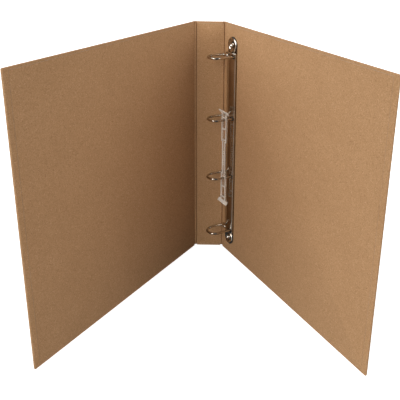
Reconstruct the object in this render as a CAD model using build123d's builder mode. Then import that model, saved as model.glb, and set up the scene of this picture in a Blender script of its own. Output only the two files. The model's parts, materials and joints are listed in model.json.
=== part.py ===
"""A4 ring binder with four D rings, standing open on its lower edge.

The frame is +Z up. The origin is on the floor, at the middle of the spine's
thickness and width. The spine lies along X and the covers open towards -Y.
Lengths are millimetres and angles are degrees.
"""

import os
from math import cos, degrees, radians, sin, sqrt, tan

from build123d import *

os.makedirs("parts", exist_ok=True)

# The case: three boards in paper, hinged at two paper gutters
HEIGHT = 318.0
SPINE_WIDTH = 40.0  # between the two fold lines
COVER_WIDTH = 300.0  # from a fold line to the cover's free edge
REST_ANGLE = 30.4  # how far each cover stands open from square to the spine
BOARD = 2.1
PAPER = 0.2
LINER = 0.3
CASE = PAPER + BOARD + LINER
HALF_GUTTER = 3.6  # from a fold line to the nearest board edge
FREE_MARGIN = 6.5  # turned-in paper left showing at a free edge
END_MARGIN = 2.5  # the same at the top and bottom edges
EDGE_RADIUS = 0.5
GUTTER_BEND = 2.0  # the bend of the outer paper round a fold line
GLUED = 0.05  # the glue line between a gutter's two papers

# The ring mechanism, on the back cover. U is measured along the cover from the
# fold line, and depth from the cover's outer face towards the sheets.
MECHANISM_U = 23.4
CASING_WIDTH = 20.0
RIM_HEIGHT = 2.6  # the casing's upright sides
ARCH_RISE = 3.0  # its shallow arc over them
RIM_RADIUS = 1.1
END_RADIUS = 1.4
SHEET_STEEL = 0.8
EAR_HEIGHT = 4.2
BASE_PLATE = 1.0
ARCH_HALF_LENGTH = 125.0
RIVET_Z = 134.0
LIP = 1.2
RING_PITCH = 80.0
RING_PLACES = [1.5 * RING_PITCH, 0.5 * RING_PITCH, -0.5 * RING_PITCH, -1.5 * RING_PITCH]

# The two sprung rails that carry the ring halves
RAIL_PIVOT = 8.7  # each rail's outer edge, from the mechanism's middle
RAIL_DEPTH = 4.32
RAIL_WIDTH = 8.5
RAIL_THICKNESS = 1.2
RAIL_HALF_LENGTH = 123.0
RAIL_TILT = 5.5  # each way from flat: shut with the seam low, open with it high

# The D rings
WIRE_RADIUS = 1.5
WIRE_FIT = 0.05
POST_U = MECHANISM_U + 6.4
CURVE_FOOT_U = MECHANISM_U - 5.6
RING_SPAN = 20.0
WIRE_FOOT_DEPTH = 3.5
CRANK_DEPTH = 7.6  # where the curved half steps out over the casing's side
CRANK_RADIUS = 3.2
CROWN_DEPTH = 24.5  # where the ring's round top starts
JOINT_ANGLE = 37.0  # how far round the top, from the post, the two halves meet
RING_GAP = 0.3
TIP_CHAMFER = 0.35
SLOT_HALF_WIDTH = 2.3
SLOT_DEPTH = CASE + RIM_HEIGHT + 0.1

# The clear bar that presses the sheets down
BAR_DROP = 11.7  # it hangs from the upper ends of its slots
BAR_DEPTH = 16.0
BAR_PLATE = 1.2
BAR_RIB = 2.4
RIB_WIDTH = 1.0
BAR_WIDTH = 11.0
WAIST_WIDTH = 6.4
WING_LENGTH = 38.0
WING_CENTRE = 41.0
BAR_SLOT_WIDTH = 3.8
BAR_SLOT_LENGTH = 12.6
BRIDGE_WIDTH = 2.4  # between the two slots of a wing
TAB_HALF_WIDTH = 10.5
TAB_OUT = 4.2
TAB_RISE = 3.0
GRIP_RIDGES = 7
GRIP_PITCH = 3.0

# The rivets that hold the mechanism on the back cover
SHANK_RADIUS = 1.9
RIVET_HOLE_RADIUS = 2.0
HEAD_RADIUS = 3.6
HEAD_HEIGHT = 1.5
CAP_RADIUS = 4.8
CAP_HEIGHT = 1.2

OPEN_X = sin(radians(REST_ANGLE))
OPEN_Y = cos(radians(REST_ANGLE))
MIDDLE = HEIGHT / 2

# In each wall's plane, local X runs along the wall and local Y is the depth
# from its outer face; the plane lies at the middle of the height.
SPINE = Plane(origin=(0, CASE / 2, MIDDLE), x_dir=(1, 0, 0), z_dir=(0, 0, -1))
BACK = Plane(
    origin=(SPINE_WIDTH / 2, CASE / 2, MIDDLE),
    x_dir=(OPEN_X, -OPEN_Y, 0),
    z_dir=(0, 0, -1),
)
FRONT = Plane(
    origin=(-SPINE_WIDTH / 2, CASE / 2, MIDDLE),
    x_dir=(-OPEN_X, -OPEN_Y, 0),
    z_dir=(0, 0, 1),
)


def save(builder, name):
    """Labels a finished piece and writes it to its own file."""
    builder.part.label = name
    export_step(builder.part, f"parts/{name}.step")


def depth_plane(depth):
    """The plane parallel to the back cover: local X is U and local Y is up."""
    origin = BACK.origin + BACK.y_dir * depth
    return Plane(origin=origin, x_dir=BACK.x_dir, z_dir=BACK.y_dir)


def block(plane, lengths, depths, height, mode=Mode.ADD):
    """A block between two lengths and two depths, centred on its plane."""
    middle = (sum(lengths) / 2, sum(depths) / 2)
    with BuildSketch(plane) as profile:
        with Locations(middle):
            Rectangle(lengths[1] - lengths[0], depths[1] - depths[0])
    extrude(profile.sketch, amount=height / 2, both=True, mode=mode)


def free_edges(builder, plane):
    """The upright edges furthest along a cover."""
    along = Axis(plane.origin, plane.x_dir)
    return builder.edges().filter_by(Axis.Z).group_by(along)[-1]


def rivet_holes():
    """Cuts the two rivet holes through a layer of the back cover."""
    with BuildSketch(depth_plane(-CASE)) as holes:
        with Locations((MECHANISM_U, RIVET_Z), (MECHANISM_U, -RIVET_Z)):
            Circle(RIVET_HOLE_RADIUS)
    extrude(holes.sketch, amount=4 * CASE, mode=Mode.SUBTRACT)


def spine_wall():
    """The spine's board, outer paper and liner."""
    half = SPINE_WIDTH / 2 - HALF_GUTTER
    inside = HEIGHT - 2 * PAPER
    with BuildPart() as board:
        block(SPINE, (-half, half), (PAPER, PAPER + BOARD), inside)
    save(board, "spine_board")

    with BuildPart() as paper:
        block(SPINE, (-half, half), (0, BOARD + 2 * PAPER), HEIGHT)
        block(SPINE, (-half, half), (PAPER, PAPER + BOARD), inside, Mode.SUBTRACT)
        window = HEIGHT - 2 * END_MARGIN
        block(SPINE, (-half, half), (PAPER + BOARD, CASE), window, Mode.SUBTRACT)
    save(paper, "spine_outer_paper")

    with BuildPart() as liner:
        block(SPINE, (-half, half), (PAPER + BOARD, CASE), window)
    save(liner, "spine_liner")


def cover_wall(plane, name, drilled):
    """One cover's board, the paper turned in round its edges, and its liner."""
    start, end = HALF_GUTTER, COVER_WIDTH
    inside = HEIGHT - 2 * PAPER
    with BuildPart() as board:
        block(plane, (start, end - PAPER), (PAPER, PAPER + BOARD), inside)
        fillet(free_edges(board, plane), EDGE_RADIUS)
        if drilled:
            rivet_holes()
    save(board, f"{name}_board")

    liner_end = end - FREE_MARGIN
    window = HEIGHT - 2 * END_MARGIN
    with BuildPart() as paper:
        block(plane, (start, end), (0, BOARD + 2 * PAPER), HEIGHT)
        fillet(free_edges(paper, plane), EDGE_RADIUS + PAPER)
        with BuildPart(mode=Mode.PRIVATE) as core:
            block(plane, (start, end - PAPER), (PAPER, PAPER + BOARD), inside)
            fillet(free_edges(core, plane), EDGE_RADIUS)
        add(core.part, mode=Mode.SUBTRACT)
        block(plane, (start, liner_end), (PAPER + BOARD, CASE), window, Mode.SUBTRACT)
        if drilled:
            rivet_holes()
    save(paper, f"{name}_outer_paper")

    with BuildPart() as liner:
        block(plane, (start, liner_end), (PAPER + BOARD, CASE), window)
        if drilled:
            rivet_holes()
    save(liner, f"{name}_liner")


def fold_point(side, depth):
    """Where the spine's and a cover's surfaces at one depth meet, as X and Y."""
    turn = radians(90 - REST_ANGLE)
    return side * (SPINE_WIDTH / 2 - depth * tan(turn / 2)), CASE / 2 - depth


def gutter_papers(side, plane, name):
    """The two papers glued together where one cover folds on the spine."""
    sheet = Plane.XY.offset(MIDDLE)
    edge = side * (SPINE_WIDTH / 2 - HALF_GUTTER)

    def on_cover(u, depth):
        point = plane.from_local_coords((u, depth, 0))
        return point.X, point.Y

    middle = PAPER / 2
    with BuildPart() as outer:
        with BuildSketch(sheet):
            with BuildLine() as path:
                FilletPolyline(
                    (edge, CASE / 2 - middle),
                    fold_point(side, middle),
                    on_cover(HALF_GUTTER, middle),
                    radius=GUTTER_BEND,
                )
            trace(path.line, line_width=PAPER)
        extrude(amount=HEIGHT / 2, both=True)
    save(outer, f"{name}_gutter_outer_paper")

    low = PAPER + GLUED + LINER / 2
    high = CASE - LINER / 2
    lead, foot = 0.35, 1.35
    bend = GUTTER_BEND - (low - middle)
    with BuildPart() as inner:
        with BuildSketch(sheet):
            with BuildLine() as path:
                FilletPolyline(
                    (edge, CASE / 2 - high),
                    (edge + side * lead, CASE / 2 - high),
                    (edge + side * foot, CASE / 2 - low),
                    fold_point(side, low),
                    on_cover(HALF_GUTTER - foot, low),
                    on_cover(HALF_GUTTER - lead, high),
                    on_cover(HALF_GUTTER, high),
                    radius=[0.35, 0.35, bend, 0.35, 0.35],
                )
            trace(path.line, line_width=LINER)
        extrude(amount=HEIGHT / 2 - END_MARGIN, both=True)
    save(inner, f"{name}_gutter_inner_paper")


def arch(inset, half_length, mode=Mode.ADD):
    """The casing's long arched shape on the liner, or the hollow inside it."""
    half = CASING_WIDTH / 2 - inset
    radius = ((CASING_WIDTH / 2) ** 2 + ARCH_RISE**2) / (2 * ARCH_RISE) - inset
    crown = CASE + RIM_HEIGHT + ARCH_RISE - inset
    shoulder = crown - radius + sqrt(radius**2 - half**2)
    left, right = MECHANISM_U - half, MECHANISM_U + half
    with BuildSketch(BACK) as profile:
        with BuildLine():
            Polyline((left, shoulder), (left, CASE), (right, CASE), (right, shoulder))
            ThreePointArc((right, shoulder), (MECHANISM_U, crown), (left, shoulder))
        make_face()
        corners = profile.vertices().filter_by(lambda v: v.Y > CASE + RIM_HEIGHT / 2)
        fillet(corners, RIM_RADIUS - inset)
    extrude(profile.sketch, amount=half_length, both=True, mode=mode)


def ring_slots(start, end):
    """Cuts the slots that one side's ring halves swing in."""
    for place in RING_PLACES:
        depths = (SLOT_DEPTH, CASE + 2 * (RIM_HEIGHT + ARCH_RISE))
        block(BACK.offset(place), (start, end), depths, 2 * SLOT_HALF_WIDTH, Mode.SUBTRACT)


def mechanism_casing():
    """The arched steel casing, with its end lugs, rail lips and ring slots."""
    middle, half = MECHANISM_U, CASING_WIDTH / 2
    with BuildPart() as casing:
        arch(0, ARCH_HALF_LENGTH)
        ends = casing.faces().filter_by(Axis.Z).edges()
        raised = ends.filter_by(lambda e: (e.center() - BACK.origin).dot(BACK.y_dir) > CASE + 1)
        fillet(raised, END_RADIUS)
        arch(SHEET_STEEL, ARCH_HALF_LENGTH - SHEET_STEEL, Mode.SUBTRACT)
        with BuildSketch(depth_plane(CASE)):
            with Locations((middle, 0)):
                SlotCenterToCenter(2 * RIVET_Z, CASING_WIDTH, rotation=90)
                Rectangle(
                    CASING_WIDTH - 2 * (SHEET_STEEL + LIP),
                    2 * (ARCH_HALF_LENGTH - SHEET_STEEL),
                    mode=Mode.SUBTRACT,
                )
            with Locations((middle, RIVET_Z), (middle, -RIVET_Z)):
                Circle(RIVET_HOLE_RADIUS, mode=Mode.SUBTRACT)
        extrude(amount=BASE_PLATE)
        ear_depths = (CASE, CASE + EAR_HEIGHT)
        for place in RING_PLACES:
            for side in (-1, 1):
                ear = BACK.offset(place + side * (SLOT_HALF_WIDTH + 0.6))
                block(ear, (middle - half - 1.6, middle - half + 0.5), ear_depths, 1.2)
        ring_slots(middle - half - 2, CURVE_FOOT_U + 2.2)
        ring_slots(POST_U - 2.1, middle + half + 1)
    save(casing, "mechanism_casing")


def rail(side, wire_u, name):
    """A flat steel rail, hinged on its outer edge, with a hole for each wire."""
    pivot_u = MECHANISM_U + side * RAIL_PIVOT
    pivot = BACK.from_local_coords((pivot_u, RAIL_DEPTH, 0))
    tilt = radians(RAIL_TILT)
    along = BACK.x_dir * (-side * cos(tilt)) - BACK.y_dir * sin(tilt)
    section = Plane(origin=pivot, x_dir=along, z_dir=(0, 0, 1))
    with BuildPart() as strip:
        half = RAIL_THICKNESS / 2
        block(section, (0, RAIL_WIDTH), (-half, half), 2 * RAIL_HALF_LENGTH)
        with BuildSketch(depth_plane(CASE)) as holes:
            with Locations(*[(wire_u, place) for place in RING_PLACES]):
                Circle(WIRE_RADIUS + WIRE_FIT)
        extrude(holes.sketch, amount=2 * RAIL_DEPTH, mode=Mode.SUBTRACT)
    save(strip, name)


def crown_point(angle):
    """A point of the ring's round top, by its angle from the post, as U and depth."""
    radius = RING_SPAN / 2
    turn = radians(angle)
    return POST_U - radius + radius * cos(turn), CROWN_DEPTH + radius * sin(turn)


def wire_along(route, foot_plane, name):
    """A round wire swept along a route, its far tip chamfered."""
    with BuildPart() as wire:
        with BuildSketch(foot_plane) as section:
            Circle(WIRE_RADIUS)
        sweep(section.sketch, path=route)
        tip = wire.faces().sort_by_distance(route @ 1)[0]
        chamfer(tip.edges(), TIP_CHAMFER)
    save(wire, name)


def curved_half(place, name):
    """The bent half of a D ring: foot, crank, straight back and round top."""
    back_u = POST_U - RING_SPAN
    joint = JOINT_ANGLE + degrees(RING_GAP / (RING_SPAN / 2))
    with BuildLine(BACK.offset(-place)) as route:
        back = FilletPolyline(
            (CURVE_FOOT_U, WIRE_FOOT_DEPTH),
            (CURVE_FOOT_U, CRANK_DEPTH),
            (back_u, CRANK_DEPTH),
            (back_u, CROWN_DEPTH),
            radius=CRANK_RADIUS,
        )
        ThreePointArc(back @ 1, crown_point((180 + joint) / 2), crown_point(joint))
    wire_along(route.line, Plane(origin=route.line @ 0, z_dir=route.line % 0), name)


def straight_post(place, name):
    """The straight half of a D ring, bent over at its top to meet the other half."""
    with BuildLine(BACK.offset(-place)) as route:
        post = Line((POST_U, WIRE_FOOT_DEPTH), (POST_U, CROWN_DEPTH))
        ThreePointArc(post @ 1, crown_point(JOINT_ANGLE / 2), crown_point(JOINT_ANGLE))
    wire_along(route.line, Plane(origin=route.line @ 0, z_dir=route.line % 0), name)


def compressor_bar():
    """The clear bar on the two middle rings, with a finger tab at each end."""
    base = depth_plane(BAR_DEPTH)
    side_on = Plane(
        origin=BACK.from_local_coords((POST_U, BAR_DEPTH, BAR_DROP)),
        x_dir=(0, 0, 1),
        z_dir=BACK.x_dir,
    )
    half_length = WING_CENTRE + WING_LENGTH / 2
    wings = [(POST_U, -BAR_DROP + side * WING_CENTRE) for side in (-1, 1)]
    slots = [(POST_U, -BAR_DROP + side * RING_PITCH / 2) for side in (-1, 1)]
    with BuildPart() as bar:
        with BuildSketch(base) as plate:
            with Locations(*wings):
                Rectangle(BAR_WIDTH, WING_LENGTH)
            with Locations((POST_U, -BAR_DROP)):
                Rectangle(WAIST_WIDTH, 2 * WING_CENTRE)
        extrude(plate.sketch, amount=BAR_PLATE)
        with BuildSketch(base) as ribs:
            reach = (BAR_WIDTH - RIB_WIDTH) / 2
            for u, z in wings:
                with Locations((u - reach, z), (u + reach, z)):
                    Rectangle(RIB_WIDTH, WING_LENGTH)
            reach = (WAIST_WIDTH - RIB_WIDTH) / 2
            length = 2 * (WING_CENTRE - WING_LENGTH / 2) + 2
            with Locations((POST_U - reach, -BAR_DROP), (POST_U + reach, -BAR_DROP)):
                Rectangle(RIB_WIDTH, length)
        extrude(ribs.sketch, amount=BAR_RIB)
        with BuildSketch(base) as cross:
            for u, z in slots:
                ends = BRIDGE_WIDTH / 2 + BAR_SLOT_LENGTH + RIB_WIDTH
                with Locations((u, z - ends), (u, z), (u, z + ends)):
                    Rectangle(BAR_WIDTH, RIB_WIDTH)
        extrude(cross.sketch, amount=BAR_RIB)
        with BuildSketch(base) as grips:
            for step in range(GRIP_RIDGES):
                rise = (step - (GRIP_RIDGES - 1) / 2) * GRIP_PITCH
                with Locations((POST_U, -BAR_DROP + rise)):
                    Rectangle(WAIST_WIDTH, RIB_WIDTH)
        extrude(grips.sketch, amount=BAR_RIB - 0.4)
        for side in (-1, 1):
            with BuildSketch(side_on) as tab:
                with BuildLine():
                    Polyline(
                        (side * (half_length - 1.2), 0),
                        (side * half_length, 0),
                        (side * (half_length + TAB_OUT), TAB_RISE),
                        (side * (half_length + TAB_OUT - 0.8), TAB_RISE + BAR_PLATE),
                        (side * (half_length - 0.6), BAR_PLATE),
                        (side * (half_length - 1.2), BAR_PLATE),
                        close=True,
                    )
                make_face()
            extrude(tab.sketch, amount=TAB_HALF_WIDTH, both=True)
        with BuildSketch(base) as openings:
            for u, z in slots:
                reach = (BRIDGE_WIDTH + BAR_SLOT_LENGTH) / 2
                with Locations((u, z - reach), (u, z + reach)):
                    SlotOverall(BAR_SLOT_LENGTH, BAR_SLOT_WIDTH, rotation=90)
        extrude(openings.sketch, amount=BAR_RIB, mode=Mode.SUBTRACT)
    save(bar, "compressor_bar")


def rivet(place, name):
    """A rivet from the casing's lug through the back cover, and its outer cap."""
    lug_face = CASE + BASE_PLATE
    with BuildPart() as stud:
        with BuildSketch(depth_plane(-CAP_HEIGHT / 2)):
            with Locations((MECHANISM_U, place)):
                Circle(SHANK_RADIUS)
        extrude(amount=lug_face + CAP_HEIGHT / 2)
        with BuildSketch(depth_plane(lug_face)):
            with Locations((MECHANISM_U, place)):
                Circle(HEAD_RADIUS)
        extrude(amount=HEAD_HEIGHT)
        crown = stud.faces().sort_by(Axis(BACK.origin, BACK.y_dir))[-1]
        fillet(crown.edges(), HEAD_HEIGHT * 0.8)
    save(stud, f"{name}_rivet")

    with BuildPart() as cap:
        with BuildSketch(depth_plane(-CAP_HEIGHT)):
            with Locations((MECHANISM_U, place)):
                Circle(CAP_RADIUS)
        extrude(amount=CAP_HEIGHT)
        outside = cap.faces().sort_by(Axis(BACK.origin, BACK.y_dir))[0]
        fillet(outside.edges(), CAP_HEIGHT * 0.8)
        with BuildSketch(depth_plane(-CAP_HEIGHT / 2)):
            with Locations((MECHANISM_U, place)):
                Circle(RIVET_HOLE_RADIUS)
        extrude(amount=CAP_HEIGHT, mode=Mode.SUBTRACT)
    save(cap, f"{name}_rivet_cap")


spine_wall()
cover_wall(FRONT, "front", drilled=False)
cover_wall(BACK, "back", drilled=True)
gutter_papers(-1, FRONT, "front")
gutter_papers(1, BACK, "back")
mechanism_casing()
rail(-1, CURVE_FOOT_U, "curved_ring_rail")
rail(1, POST_U, "straight_post_rail")
for number, place in enumerate(RING_PLACES, 1):
    curved_half(place, f"curved_ring_half_{number}")
    straight_post(place, f"straight_post_{number}")
compressor_bar()
rivet(RIVET_Z, "top")
rivet(-RIVET_Z, "bottom")
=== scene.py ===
"""Looks for the open ring binder: kraft paper case, nickel-plated D-ring mechanism, clear compressor bar.

Lengths are metres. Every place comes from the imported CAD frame: each wall of the case has its own axes,
length along the wall from its fold line, depth from its outer face, and height.
"""

import json
from math import cos, pi, radians, sin

import bmesh
import bpy
from mathutils import Matrix, Vector


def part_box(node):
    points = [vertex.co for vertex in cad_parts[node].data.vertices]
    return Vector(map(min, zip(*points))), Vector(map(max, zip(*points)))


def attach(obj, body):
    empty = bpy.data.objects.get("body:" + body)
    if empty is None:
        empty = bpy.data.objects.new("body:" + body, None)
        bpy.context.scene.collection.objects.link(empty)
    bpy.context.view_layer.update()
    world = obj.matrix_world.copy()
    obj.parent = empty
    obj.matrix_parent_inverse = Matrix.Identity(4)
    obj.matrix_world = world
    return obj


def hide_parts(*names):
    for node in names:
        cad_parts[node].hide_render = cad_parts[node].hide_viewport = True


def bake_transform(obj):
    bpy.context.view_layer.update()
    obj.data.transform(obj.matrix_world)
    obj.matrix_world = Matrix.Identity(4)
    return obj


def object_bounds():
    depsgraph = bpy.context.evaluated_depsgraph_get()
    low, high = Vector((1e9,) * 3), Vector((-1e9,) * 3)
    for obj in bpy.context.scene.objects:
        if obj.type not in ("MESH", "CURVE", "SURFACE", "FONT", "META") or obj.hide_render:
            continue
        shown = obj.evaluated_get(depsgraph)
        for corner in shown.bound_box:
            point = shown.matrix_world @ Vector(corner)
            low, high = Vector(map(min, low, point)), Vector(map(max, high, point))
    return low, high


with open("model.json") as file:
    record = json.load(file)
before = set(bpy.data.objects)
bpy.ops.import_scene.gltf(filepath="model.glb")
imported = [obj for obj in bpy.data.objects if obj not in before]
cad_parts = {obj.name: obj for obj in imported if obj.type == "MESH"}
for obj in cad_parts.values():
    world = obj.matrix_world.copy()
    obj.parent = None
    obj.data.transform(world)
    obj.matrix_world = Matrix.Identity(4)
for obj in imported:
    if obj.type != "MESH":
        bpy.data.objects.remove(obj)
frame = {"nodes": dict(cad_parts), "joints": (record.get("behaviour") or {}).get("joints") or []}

CAD_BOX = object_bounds()
MM = 0.001

JOINTS = {joint["name"]: joint for joint in frame["joints"]}
FOLD = Vector(JOINTS["back_cover_hinge"]["pos_m"])
CASE = 2 * FOLD.y
OPEN_ANGLE = radians(-JOINTS["back_cover_hinge"]["range_deg"][0])

# Sizes of the pieces that are made here
EDGE_ROUND = 0.6 * MM
CORNER_ROUND = 1.2 * MM
ROUND_STEPS = 4
LINER_GAP = 0.3 * MM
LINER_ROUND = 0.2 * MM
GUTTER_LEVELS = 8
WELD = 0.001 * MM
SHARP_EDGE = radians(35)
LATHE_SEGMENTS = 48
RIVET_HEIGHT = 1.5 * MM
RIVET_HEAD = 3.6 * MM
RIVET_LIP = 0.7 * MM
RIVET_BORE = 1.6 * MM
RIVET_SHANK = 1.9 * MM
RIVET_FUNNEL = 1.1  # rise of the funnel's mouth over the lug, in lips
RIVET_ROLL_STEPS = 8
CASING_HALF_WIDTH = 10.0 * MM
LUG_STEPS = 64
LUG_GROWTH = 0.25  # share that the rim grows by at its sides, and twice over at the casing's arch
ARC_STEPS = 20
WIRE_SEGMENTS = 24
TIP_ROUND = 0.35 * MM
RING_FOOT = 5.6 * MM  # from the mechanism's middle
CRANK_DEPTH = 7.6 * MM
CRANK_ROUND = 3.2 * MM
JOINT_ANGLE = 37  # degrees round the top, from the post
JOINT_GAP = 1.72  # degrees that part the two halves of a ring
BAR_WEB = 1.2 * MM
BAR_MILKY = 0.5 * MM  # depth over which the bar turns from clear to milky
BAR_SOFT_EDGE = 0.25 * MM
CASING_SHADE_HEIGHTS = (0.9 * MM, 1.5 * MM)  # heights over its foot over which the painted shade on the casing fades out
GUTTER_END = 1.0  # where a gutter's flat papers meet the fold, in millimetres from it
BED_DROP = (0.3, 0.1)  # the inner paper's underside: in from the board, and over the outer paper

# The section of a lug's rim, in millimetres: distance in from the lug's outline, and rise over its face
LUG_SECTION = (
    (0, -0.1), (0.1, 0.3), (0.7, 0.9), (1.3, 1.3), (1.9, 1.4),
    (2.5, 1.25), (3.4, 0.75), (4.4, 0.25), (5.6, 0.0), (5.6, -0.1),
)

# The inner paper across each gutter, in millimetres: distance in from the board's edge, and depth from the
# outer face; first from the spine's board to the middle, then from the cover's board
GUTTER_CREASES = {
    "front": (
        ((0.1, 2.5), (0.2, 0.9), (0.6, 0.9), (0.8, 2.4), (1.2, 3.0), (1.7, 3.1)),
        ((0.1, 2.5), (0.3, 1.6), (0.7, 1.6), (1.0, 2.4), (1.4, 2.9), (1.7, 3.1)),
    ),
    "back": (
        ((0.1, 2.6), (0.5, 2.8), (1.0, 3.0), (1.4, 2.8), (1.9, 2.5), (2.4, 1.7)),
        ((0.1, 2.5), (0.9, 2.5), (1.9, 2.3), (2.4, 0.9)),
    ),
}

# The camera
CAMERA_PLACE = (0.0235, -0.7636, 0.4449)
CAMERA_YAW = radians(-0.45)
CAMERA_PITCH = radians(19.73)
CAMERA_ROLL = radians(-0.81)
CAMERA_LENS = 54.75
CAMERA_SHIFT = (-0.056, -0.17)

# The studio
SWEEP_FLAT = 5.0
SWEEP_RISE = 3.0
SWEEP_STEPS = 12
SWEEP_SEGMENTS = 96
SWEEP_GLOW = 0.85
# The sky's brightness by height: the sine of the elevation, and the level
SKY = ((-1.0, 0.2), (-0.1, 0.2), (0.1, 0.3), (0.6, 0.65), (1.0, 0.8))
SKY_STRENGTH = 0.23

# The distant soft lights: the way each shines, how wide it looks in degrees, its strength and its tint
SUNS = {
    "key": ((0.45, 0.75, -0.60), 35, 1.0, (1.12, 1.0, 0.85)),
    "window": ((0.40, 0.87, -0.30), 30, 0.78, (0.92, 1.0, 1.10)),
    "side": ((0.85, 0.35, -0.35), 40, 1.43, (0.94, 1.0, 1.05)),
    "fill": ((-0.80, 0.45, -0.35), 50, 1.6, (1.0, 1.0, 1.0)),
    "bounce": ((0.46, 0.83, 0.35), 50, 0.3, (1.0, 0.94, 0.88)),
    "rear": ((0.0, -0.90, -0.35), 45, 1.5, (1.0, 1.0, 1.0)),
}


# Axes of the three walls ------------------------------------------------------


def wall_axes(side):
    """The frame of a wall: X along it, Y the depth from its outer face, Z up. Side 0 is the spine."""
    if side == 0:
        along, inward = Vector((1, 0, 0)), Vector((0, -1, 0))
    else:
        along = Vector((side * sin(OPEN_ANGLE), -cos(OPEN_ANGLE), 0))
        inward = Vector((-side * cos(OPEN_ANGLE), -sin(OPEN_ANGLE), 0))
    matrix = Matrix((along, inward, (0, 0, 1))).transposed().to_4x4()
    matrix.translation = (side * FOLD.x, FOLD.y, 0)
    return matrix


SPINE, BACK, FRONT = wall_axes(0), wall_axes(1), wall_axes(-1)


def local_box(node, wall):
    """A CAD node's lowest and highest corner in a wall's own axes."""
    into = wall.inverted()
    points = [into @ v.co for v in frame["nodes"][node].data.vertices]
    low = Vector([min(p[k] for p in points) for k in range(3)])
    high = Vector([max(p[k] for p in points) for k in range(3)])
    return low, high


HEIGHT = CAD_BOX[1].z - CAD_BOX[0].z
COVER_END = local_box("back_outer_paper", BACK)[1].x
PAPER = local_box("back_board", BACK)[0].y
BOARD_FACE = local_box("back_board", BACK)[1].y
FREE_MARGIN = COVER_END - local_box("back_liner", BACK)[1].x
END_MARGIN = local_box("back_liner", BACK)[0].z
MECHANISM_U = local_box("mechanism_casing", BACK)[1].x - CASING_HALF_WIDTH
BAR_WEB_FACE = local_box("compressor_bar", BACK)[0].y + BAR_WEB
BACK_DEPTH = BACK.col[1].xyz.dot(BACK.translation)  # of the back cover's outer face, from the frame's origin
CASING_FOOT = local_box("mechanism_casing", BACK)[0].y + BACK_DEPTH
WIRE_RADIUS = (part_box("straight_post_1")[1].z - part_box("straight_post_1")[0].z) / 2


# Materials --------------------------------------------------------------------


class Nodes:
    """A material with its Principled shader, and short calls that add nodes to it."""

    def __init__(self, name, **settings):
        self.material = bpy.data.materials.new(name)
        self.material.use_nodes = True
        self.tree = self.material.node_tree
        self.shader = self.tree.nodes["Principled BSDF"]
        self.place = self.add("ShaderNodeTexCoord").outputs["Object"]
        for socket, value in settings.items():
            self.shader.inputs[socket.replace("_", " ")].default_value = value

    def add(self, kind, **properties):
        node = self.tree.nodes.new(kind)
        for name, value in properties.items():
            setattr(node, name, value)
        return node

    def link(self, source, target):
        self.tree.links.new(source, target)

    def stretched(self, scale):
        node = self.add("ShaderNodeMapping")
        node.inputs["Scale"].default_value = scale
        self.link(self.place, node.inputs["Vector"])
        return node.outputs["Vector"]

    def noise(self, scale, detail=2.0, roughness=0.5, distortion=0.0, vector=None):
        node = self.add("ShaderNodeTexNoise")
        node.inputs["Scale"].default_value = scale
        node.inputs["Detail"].default_value = detail
        node.inputs["Roughness"].default_value = roughness
        node.inputs["Distortion"].default_value = distortion
        self.link(vector or self.place, node.inputs["Vector"])
        return node.outputs["Fac"]

    def spread(self, source, low, high, to_low=0.0, to_high=1.0):
        node = self.add("ShaderNodeMapRange")
        for name, value in zip(("From Min", "From Max", "To Min", "To Max"), (low, high, to_low, to_high)):
            node.inputs[name].default_value = value
        self.link(source, node.inputs["Value"])
        return node.outputs["Result"]

    def maths(self, operation, first, second):
        node = self.add("ShaderNodeMath", operation=operation)
        for socket, value in zip(node.inputs, (first, second)):
            if isinstance(value, (int, float)):
                socket.default_value = value
            else:
                self.link(value, socket)
        return node.outputs["Value"]

    def mix(self, factor, first, second):
        node = self.add("ShaderNodeMix", data_type="RGBA")
        self.link(factor, node.inputs["Factor"])
        for name, value in (("A", first), ("B", second)):
            socket = [s for s in node.inputs if s.name == name and s.type == "RGBA"][0]
            if isinstance(value, tuple):
                socket.default_value = (*value, 1)
            else:
                self.link(value, socket)
        return [s for s in node.outputs if s.type == "RGBA"][0]

    def bump(self, height, distance, strength=1.0):
        node = self.add("ShaderNodeBump")
        node.inputs["Strength"].default_value = strength
        node.inputs["Distance"].default_value = distance
        self.link(height, node.inputs["Height"])
        self.link(node.outputs["Normal"], self.shader.inputs["Normal"])

    def depth(self):
        """The place's depth along the back cover's inward axis, counted from the frame's origin."""
        node = self.add("ShaderNodeVectorMath", operation="DOT_PRODUCT")
        node.inputs[1].default_value = BACK.col[1].xyz
        self.link(self.place, node.inputs[0])
        return node.outputs["Value"]

    def drive(self, source, socket):
        self.link(source, self.shader.inputs[socket])


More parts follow.
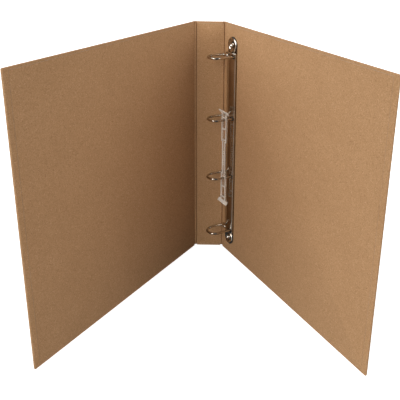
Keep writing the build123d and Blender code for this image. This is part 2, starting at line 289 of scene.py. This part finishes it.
def kraft_paper():
    """Unbleached paper: cloudy colour, pale and dark fibres, a few bark specks and a felt-like surface."""
    paper = Nodes("kraft_paper", Specular_IOR_Level=0.15, Sheen_Weight=0.05, Sheen_Roughness=0.5)
    cloud = paper.noise(22, detail=3, roughness=0.6)
    grain = paper.noise(750, detail=4, roughness=0.65)
    fibre = paper.noise(420, detail=3, roughness=0.7, distortion=2.6)
    base = paper.mix(paper.spread(cloud, 0.3, 0.7), (0.470, 0.270, 0.132), (0.525, 0.306, 0.155))
    grained = paper.mix(paper.spread(grain, 0.32, 0.68), (0.385, 0.215, 0.101), base)
    pale = paper.mix(paper.spread(fibre, 0.54, 0.68, 0, 0.7), grained, (0.63, 0.40, 0.23))
    dark = paper.mix(paper.spread(fibre, 0.45, 0.34, 0, 0.6), pale, (0.26, 0.135, 0.060))
    cells = paper.add("ShaderNodeTexVoronoi")
    cells.inputs["Scale"].default_value = 170
    paper.link(paper.place, cells.inputs["Vector"])
    chosen = paper.spread(cells.outputs["Color"], 0.62, 0.66)
    speck = paper.spread(cells.outputs["Distance"], 0.10, 0.05, 0, 0.6)
    final = paper.mix(paper.maths("MULTIPLY", chosen, speck), dark, (0.16, 0.085, 0.04))
    paper.drive(final, "Base Color")
    paper.drive(paper.spread(grain, 0.3, 0.7, 0.72, 0.9), "Roughness")
    paper.bump(paper.maths("ADD", grain, fibre), 0.06 * MM, 0.5)
    return paper.material


def greyboard():
    """Pressed grey board, seen at the cut edges inside the folds."""
    board = Nodes("greyboard", Specular_IOR_Level=0.2)
    layers = board.noise(500, detail=4, roughness=0.7)
    pulp = board.mix(board.spread(layers, 0.3, 0.7), (0.33, 0.27, 0.20), (0.47, 0.40, 0.31))
    board.drive(pulp, "Base Color")
    board.drive(board.spread(layers, 0.3, 0.7, 0.8, 0.95), "Roughness")
    board.bump(layers, 0.1 * MM, 0.6)
    return board.material


def nickel_plate(name="nickel_plate", foot=None):
    """Bright nickel plating with drawing lines and finger marks; with foot, painted shade darkens it up to
    the second depth in foot.
    """
    plate = Nodes(name, Metallic=1.0)
    smudge = plate.noise(60, detail=4, roughness=0.6)
    lines = plate.noise(1.0, detail=3, roughness=0.6, vector=plate.stretched((2500, 2500, 60)))
    # Partly nickel's own tone, partly painted reflection: darker and browner than bare nickel, for the kraft
    # paper it reflects.
    plated = plate.mix(plate.spread(smudge, 0.3, 0.7), (0.47, 0.42, 0.36), (0.59, 0.53, 0.46))
    if foot:
        # Painted shade: near black at the casing's foot, fading out between the two depths in foot.
        plated = plate.mix(plate.spread(plate.depth(), *foot), (0.06, 0.045, 0.03), plated)
    plate.drive(plated, "Base Color")
    plate.drive(plate.spread(smudge, 0.35, 0.75, 0.10, 0.20), "Roughness")
    plate.bump(lines, 0.01 * MM, 0.15)
    return plate.material


def spring_steel():
    """Spring strip with a satin finish, its colour darkened to paint the shade inside the casing where it
    shows through the slots.
    """
    steel = Nodes("spring_steel", Metallic=1.0)
    lines = steel.noise(1.0, detail=4, roughness=0.6, vector=steel.stretched((3000, 3000, 40)))
    # Painted shade: the strip's colour is kept near black so that the casing's slots look dark.
    shade_darkened_steel = steel.mix(steel.spread(lines, 0.3, 0.7), (0.13, 0.13, 0.14), (0.20, 0.20, 0.21))
    steel.drive(shade_darkened_steel, "Base Color")
    steel.drive(steel.spread(lines, 0.3, 0.7, 0.28, 0.42), "Roughness")
    steel.bump(lines, 0.03 * MM, 0.4)
    return steel.material


def clear_plastic():
    """Moulded polystyrene with slight flow marks: the thin web is clear, the ribs and tabs are milky."""
    plastic = Nodes("clear_plastic", IOR=1.5, Base_Color=(0.98, 0.93, 0.86, 1))
    flow = plastic.noise(90, detail=3, roughness=0.5, distortion=1.2)
    plastic.drive(plastic.spread(flow, 0.3, 0.7, 0.08, 0.22), "Roughness")
    web = BACK_DEPTH + BAR_WEB_FACE
    plastic.drive(plastic.spread(plastic.depth(), web, web + BAR_MILKY, 0.93, 0.30), "Transmission Weight")
    plastic.bump(flow, 0.08 * MM, 0.4)
    return plastic.material


def studio_white():
    """A matt white studio sweep that glows a little."""
    sweep = Nodes("studio_white", Specular_IOR_Level=0.0, Roughness=0.9, Emission_Strength=SWEEP_GLOW)
    cloud = sweep.noise(3, detail=2)
    sweep.drive(sweep.mix(cloud, (0.80, 0.80, 0.80), (0.83, 0.83, 0.83)), "Base Color")
    sweep.shader.inputs["Emission Color"].default_value = (1, 1, 1, 1)
    return sweep.material


MATERIALS = {
    "kraft_paper": kraft_paper(),
    "greyboard": greyboard(),
    "nickel_plate": nickel_plate(),
    "spring_steel": spring_steel(),
    "clear_plastic": clear_plastic(),
}
# The casing's plating, with painted shade along its foot.
SHADED_CASING_PLATE = nickel_plate("casing_plate_painted_shade", [CASING_FOOT + height for height in CASING_SHADE_HEIGHTS])


def node_slot(name):
    """The record's material slot that a CAD node takes its finish from."""
    endings = {
        "paper": "kraft_paper",
        "liner": "kraft_paper",
        "board": "greyboard",
        "rail": "spring_steel",
        "bar": "clear_plastic",
    }
    return endings.get(name.rsplit("_", 1)[-1], "nickel_plate")


def dress_cad_nodes():
    """Gives every CAD node its finish."""
    for name, node in frame["nodes"].items():
        node.data.materials.clear()
        node.data.materials.append(MATERIALS[node_slot(name)])
    frame["nodes"]["mechanism_casing"].data.materials[0] = SHADED_CASING_PLATE


# Pieces -----------------------------------------------------------------------


def link_piece(mesh, name, nodes, slot, body=None):
    """Makes a finished bmesh the piece that stands for some CAD nodes, in a record slot's finish."""
    bmesh.ops.remove_doubles(mesh, verts=mesh.verts, dist=WELD)
    bmesh.ops.recalc_face_normals(mesh, faces=mesh.faces)
    data = bpy.data.meshes.new(name)
    mesh.to_mesh(data)
    mesh.free()
    data.shade_smooth()
    data.set_sharp_from_angle(angle=SHARP_EDGE)
    data.materials.append(MATERIALS[slot])
    piece = bpy.data.objects.new(name, data)
    bpy.context.collection.objects.link(piece)
    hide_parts(*nodes)
    if body:
        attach(piece, body)
    return piece


def skin(mesh, rows, looped=False):
    """Quads between neighbouring rows of points; with looped, each row also closes on itself."""
    rows = [[mesh.verts.new(point) for point in row] for row in rows]
    for first, second in zip(rows, rows[1:]):
        count = len(first)
        for k in range(count if looped else count - 1):
            after = (k + 1) % count
            mesh.faces.new((first[k], first[after], second[after], second[k]))
    return rows


def quarter(radius, steps=ROUND_STEPS):
    """Points of a quarter circle, as the two distances left to its end, from (radius, 0) to (0, radius)."""
    turns = [step / steps * pi / 2 for step in range(steps + 1)]
    return [(radius * (1 - sin(turn)), radius * (1 - cos(turn))) for turn in turns]


def rim_profile():
    """The wrapped paper's section at an edge: margin from a free edge, margin from an end, and depth."""
    paper_face = BOARD_FACE + PAPER
    outer = [(margin, margin, depth) for margin, depth in quarter(EDGE_ROUND)]
    inner = [(margin, margin, paper_face - depth) for margin, depth in reversed(quarter(EDGE_ROUND))]
    turn_in = [(FREE_MARGIN, END_MARGIN, paper_face), (FREE_MARGIN, END_MARGIN, BOARD_FACE)]
    hidden = [(PAPER, PAPER, BOARD_FACE), (PAPER, PAPER, PAPER)]
    return outer + inner + turn_in + hidden


def liner_profile():
    """The liner's section at an edge, a small gap in from the turned-in paper, its upper edge rounded."""
    top = [
        (FREE_MARGIN + LINER_GAP + margin, END_MARGIN + LINER_GAP + margin, CASE - depth)
        for margin, depth in reversed(quarter(LINER_ROUND))
    ]
    return [(top[0][0], top[0][1], BOARD_FACE)] + top


def cover_layer(wall, profile):
    """One layer of a cover: a section carried round its three free edges and closed on both faces."""
    start, end = local_box("front_board", FRONT)[0].x, COVER_END
    rows = []
    for free_margin, end_margin, depth in profile:
        far, low, high = end - free_margin, end_margin, HEIGHT - end_margin
        corner = max(CORNER_ROUND - end_margin, PAPER)
        bend = [(far - away, low + near) for near, away in reversed(quarter(corner))]
        chain = [(start, low)] + bend + [(u, low + high - z) for u, z in reversed(bend)] + [(start, high)]
        rows.append([wall @ Vector((u, depth, z)) for u, z in chain])
    mesh = bmesh.new()
    rows = skin(mesh, rows)
    mesh.faces.new(rows[0])
    mesh.faces.new(rows[-1])
    mesh.faces.new([row[0] for row in rows] + [row[-1] for row in reversed(rows)])
    return mesh


def spine_layer(profile):
    """One layer of the spine: a section round its top and bottom edges, drawn out across its width."""
    reach = local_box("spine_board", SPINE)[1].x
    section = [(margin, depth) for _, margin, depth in profile]
    section += [(HEIGHT - margin, depth) for margin, depth in reversed(section)]
    mesh = bmesh.new()
    ends = [[SPINE @ Vector((x, depth, z)) for z, depth in section] for x in (-reach, reach)]
    rows = skin(mesh, ends, True)
    mesh.faces.new(rows[0])
    mesh.faces.new(rows[1])
    return mesh


def make_case_papers():
    """The kraft paper wrapped round each board, and the liner on its inner face."""
    for side, wall in (("front", FRONT), ("back", BACK)):
        body = f"{side}_cover"
        wrap = cover_layer(wall, rim_profile())
        link_piece(wrap, f"{side}_wrapped_paper", [f"{side}_outer_paper"], "kraft_paper", body)
        lining = cover_layer(wall, liner_profile())
        link_piece(lining, f"{side}_lining", [f"{side}_liner"], "kraft_paper", body)
    wrap, lining = spine_layer(rim_profile()), spine_layer(liner_profile())
    link_piece(wrap, "spine_wrapped_paper", ["spine_outer_paper"], "kraft_paper", "spine")
    link_piece(lining, "spine_lining", ["spine_liner"], "kraft_paper", "spine")


def corners_cut(points, rounds=2):
    """A smoother line: each round swaps every inner corner for two points beside it."""
    for _ in range(rounds):
        cut = [points[0]]
        for first, second in zip(points, points[1:]):
            cut += [first.lerp(second, 0.25), first.lerp(second, 0.75)]
        points = cut + [points[-1]]
    return points


def gutter_line(side, spine_side, cover_side):
    """A line across a gutter in plan, from distances to the fold and depths on the spine and the cover."""
    wall = BACK if side > 0 else FRONT
    line = [SPINE @ Vector((side * (FOLD.x - reach * MM), depth * MM, 0)) for reach, depth in spine_side]
    line += [wall @ Vector((reach * MM, depth * MM, 0)) for reach, depth in reversed(cover_side)]
    return corners_cut(line)


def gutter_strip(side, upper, lower, margin):
    """A strip of paper between two lines across a gutter, drawn out over the height."""
    outline = upper + lower[::-1]
    mesh = bmesh.new()
    levels = [margin + (HEIGHT - 2 * margin) * k / GUTTER_LEVELS for k in range(GUTTER_LEVELS + 1)]
    rows = skin(mesh, [[Vector((p.x, p.y, z)) for p in outline] for z in levels], True)
    mesh.faces.new(rows[0])
    mesh.faces.new(rows[-1])
    return mesh


def make_gutters():
    """The creased papers in the two gutters."""
    edge = (FOLD.x - local_box("spine_board", SPINE)[1].x) / MM
    skin_depth, liner_depth, case_depth = PAPER / MM, BOARD_FACE / MM, CASE / MM
    for side, name in ((-1, "front"), (1, "back")):
        inner = GUTTER_CREASES[name]
        spine_side = [(edge, case_depth)] + [(edge - reach, depth) for reach, depth in inner[0]]
        cover_side = [(edge, case_depth)] + [(edge - reach, depth) for reach, depth in inner[1]]
        bed_depth = skin_depth + BED_DROP[1]
        bed = [(edge, liner_depth), (edge - BED_DROP[0], bed_depth), (GUTTER_END, bed_depth)]
        outer = [(edge, 0.0), (GUTTER_END, 0.0)]
        backing = [(edge, skin_depth), (GUTTER_END, skin_depth)]
        strips = {
            "outer": (gutter_line(side, outer, outer), gutter_line(side, backing, backing), 0.0),
            "inner": (gutter_line(side, spine_side, cover_side), gutter_line(side, bed, bed), END_MARGIN),
        }
        for layer, (upper, lower, margin) in strips.items():
            mesh = gutter_strip(side, upper, lower, margin)
            nodes = [f"{name}_gutter_{layer}_paper"]
            piece = link_piece(mesh, f"{name}_gutter_{layer}_fold", nodes, "kraft_paper")
            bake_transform(piece)


def lathe(wall, centre, section):
    """A closed turned shape: a section of radius and depth, from axis to axis, spun about the depth axis."""
    rows = []
    for k in range(LATHE_SEGMENTS + 1):
        turn = 2 * pi * k / LATHE_SEGMENTS
        across, along = cos(turn), sin(turn)
        rows.append([wall @ Vector((centre[0] + r * across, d, centre[1] + r * along)) for r, d in section])
    mesh = bmesh.new()
    skin(mesh, rows)
    return mesh


def rivet_section(foot, lug_face):
    """A hollow rivet's section: shank, head rolled over at its edge, funnel and bore."""
    turns = [step / RIVET_ROLL_STEPS * pi for step in range(RIVET_ROLL_STEPS + 1)]
    bottom = lug_face / 2
    shank = [(0, foot), (RIVET_SHANK, foot), (RIVET_SHANK, lug_face)]
    rolled = [(RIVET_HEAD - RIVET_LIP * (1 - sin(t)), lug_face + RIVET_LIP * (1 - cos(t))) for t in turns]
    funnel = [(RIVET_BORE + RIVET_LIP, lug_face + RIVET_FUNNEL * RIVET_LIP), (RIVET_BORE, lug_face)]
    return shank + rolled + funnel + [(RIVET_BORE, bottom), (0, bottom)]


def lug_rim(centre, lug_face, side):
    """The spoon-like rim pressed round a lug's rivet, which grows towards the casing's arch."""
    rows = []
    for k in range(LUG_STEPS + 1):
        turn = 2 * pi * k / LUG_STEPS
        across, along = cos(turn), sin(turn)
        growth = 1 + LUG_GROWTH * (1 - along)
        row = []
        for inward, rise in LUG_SECTION:
            reach = CASING_HALF_WIDTH - inward * MM
            depth = lug_face + rise * growth * MM
            row.append(BACK @ Vector((centre[0] + across * reach, depth, centre[1] + side * along * reach)))
        rows.append(row)
    mesh = bmesh.new()
    skin(mesh, rows, True)
    return mesh


def make_rivets():
    """The hollow rivets in the casing's lugs, and the rims round them."""
    for name, side in (("top", 1), ("bottom", -1)):
        low, high = local_box(f"{name}_rivet", BACK)
        centre = (MECHANISM_U, (low.z + high.z) / 2)
        lug_face = high.y - RIVET_HEIGHT
        stud = lathe(BACK, centre, rivet_section(low.y, lug_face))
        link_piece(stud, f"{name}_hollow_rivet", [f"{name}_rivet"], "nickel_plate", "back_cover")
        link_piece(lug_rim(centre, lug_face, side), f"{name}_lug_rim", [], "nickel_plate", "back_cover")


def arc(centre, radius, start, stop):
    """Points round a centre in the back cover's length and depth, from one angle to another in degrees."""
    turns = [radians(start + (stop - start) * k / ARC_STEPS) for k in range(ARC_STEPS + 1)]
    return [(centre[0] + radius * cos(turn), centre[1] + radius * sin(turn)) for turn in turns]


def wire(line, z):
    """A round wire along a line in length and depth at one height, with slightly rounded tips."""
    points = [Vector(point) for point in line]
    sizes = [WIRE_RADIUS] * len(points)
    for end, inner in ((0, 1), (-1, -2)):
        away = (points[end] - points[inner]).normalized()
        tip = points[end].copy()
        points[end] = tip - away * TIP_ROUND
        points.insert(0 if end == 0 else len(points), tip)
        sizes.insert(0 if end == 0 else len(sizes), WIRE_RADIUS - TIP_ROUND)
    rows = []
    for k, (point, size) in enumerate(zip(points, sizes)):
        along = (points[min(k + 1, len(points) - 1)] - points[max(k - 1, 0)]).normalized()
        row = []
        for j in range(WIRE_SEGMENTS):
            turn = 2 * pi * j / WIRE_SEGMENTS
            out = point + Vector((-along.y, along.x)) * size * cos(turn)
            row.append(BACK @ Vector((out.x, out.y, z + size * sin(turn))))
        rows.append(row)
    mesh = bmesh.new()
    rows = skin(mesh, rows, True)
    mesh.faces.new(rows[0])
    mesh.faces.new(rows[-1])
    return mesh


def make_rings():
    """Both halves of each D ring: the cranked half with the round top, and the post that meets it."""
    for number in range(1, 5):
        curved, post = f"curved_ring_half_{number}", f"straight_post_{number}"
        low, high = local_box(curved, BACK)
        post_u = local_box(post, BACK)[1].x - WIRE_RADIUS
        back_u = low.x + WIRE_RADIUS
        span, z, foot = (post_u - back_u) / 2, (low.z + high.z) / 2, low.y
        top = (back_u + span, high.y - WIRE_RADIUS - span)
        foot_u = MECHANISM_U - RING_FOOT
        bent = [(foot_u, foot)]
        bent += arc((foot_u - CRANK_ROUND, CRANK_DEPTH - CRANK_ROUND), CRANK_ROUND, 0, 90)
        bent += arc((back_u + CRANK_ROUND, CRANK_DEPTH + CRANK_ROUND), CRANK_ROUND, 270, 180)
        bent += arc(top, span, 180, JOINT_ANGLE + JOINT_GAP)
        upright = [(post_u, foot)] + arc(top, span, 0, JOINT_ANGLE)
        link_piece(wire(bent, z), f"{curved}_wire", [curved], "nickel_plate", "curved_rings")
        link_piece(wire(upright, z), f"{post}_wire", [post], "nickel_plate", "straight_posts")


def soften(node, width):
    """Rounds a CAD node's sharp edges a little."""
    bevel = frame["nodes"][node].modifiers.new("soft_edges", "BEVEL")
    bevel.width = width
    bevel.segments = 2
    bevel.limit_method = "ANGLE"
    bevel.angle_limit = radians(50)


# Camera, floor and lights -----------------------------------------------------


def make_camera():
    data = bpy.data.cameras.new("camera")
    data.lens = CAMERA_LENS
    data.shift_x, data.shift_y = CAMERA_SHIFT
    data.clip_start, data.clip_end = 0.01, 100
    camera = bpy.data.objects.new("camera", data)
    bpy.context.collection.objects.link(camera)
    aim = Matrix.Rotation(-CAMERA_YAW, 4, "Z") @ Matrix.Rotation(pi / 2 - CAMERA_PITCH, 4, "X")
    camera.matrix_world = Matrix.Translation(CAMERA_PLACE) @ aim @ Matrix.Rotation(-CAMERA_ROLL, 4, "Z")
    bpy.context.scene.camera = camera


def make_floor():
    """A round white floor that curves up into a wall far behind the object."""
    profile = [(0.0, 0.0), (SWEEP_FLAT, 0.0)]
    for step in range(1, SWEEP_STEPS + 1):
        turn = step / SWEEP_STEPS * pi / 2
        profile.append((SWEEP_FLAT + SWEEP_RISE * sin(turn), SWEEP_RISE * (1 - cos(turn))))
    mesh = bmesh.new()
    points = [mesh.verts.new((radius, 0, height)) for radius, height in profile]
    edges = [mesh.edges.new(pair) for pair in zip(points, points[1:])]
    circle = {"cent": (0, 0, 0), "axis": (0, 0, 1), "angle": 2 * pi, "steps": SWEEP_SEGMENTS}
    bmesh.ops.spin(mesh, geom=points + edges, use_merge=True, **circle)
    bmesh.ops.remove_doubles(mesh, verts=mesh.verts, dist=MM)
    bmesh.ops.recalc_face_normals(mesh, faces=mesh.faces)
    data = bpy.data.meshes.new("floor")
    mesh.to_mesh(data)
    mesh.free()
    data.shade_smooth()
    data.materials.append(studio_white())
    floor = bpy.data.objects.new("floor", data)
    bpy.context.collection.objects.link(floor)
    floor.visible_diffuse = False
    floor.visible_shadow = False
    floor.visible_glossy = False


def sun(name, towards, angle, strength, tint):
    """A distant soft light that shines along a direction."""
    data = bpy.data.lights.new(name, "SUN")
    data.angle = radians(angle)
    data.energy = strength
    data.color = tint
    light = bpy.data.objects.new(name, data)
    bpy.context.collection.objects.link(light)
    light.rotation_euler = (-Vector(towards)).to_track_quat("Z", "Y").to_euler()


def make_sky():
    """Soft light from all round, strongest from above."""
    world = bpy.data.worlds.new("studio")
    world.use_nodes = True
    tree = world.node_tree
    place = tree.nodes.new("ShaderNodeTexCoord")
    split = tree.nodes.new("ShaderNodeSeparateXYZ")
    tree.links.new(place.outputs["Generated"], split.inputs["Vector"])
    ramp = tree.nodes.new("ShaderNodeValToRGB")
    stops = ramp.color_ramp.elements
    while len(stops) < len(SKY):
        stops.new(0.5)
    for stop, (height, level) in zip(stops, SKY):
        stop.position = (height + 1) / 2
        stop.color = (level, level, level, 1)
    raised = tree.nodes.new("ShaderNodeMapRange")
    raised.inputs["From Min"].default_value = -1
    tree.links.new(split.outputs["Z"], raised.inputs["Value"])
    tree.links.new(raised.outputs["Result"], ramp.inputs["Fac"])
    tree.links.new(ramp.outputs["Color"], tree.nodes["Background"].inputs["Color"])
    tree.nodes["Background"].inputs["Strength"].default_value = SKY_STRENGTH
    bpy.context.scene.world = world


def make_lights():
    for name, settings in SUNS.items():
        sun(name, *settings)
    make_sky()
    bpy.context.scene.view_settings.view_transform = "Standard"


make_camera()
make_floor()
make_lights()
dress_cad_nodes()
make_case_papers()
make_gutters()
make_rivets()
make_rings()
soften("compressor_bar", BAR_SOFT_EDGE)
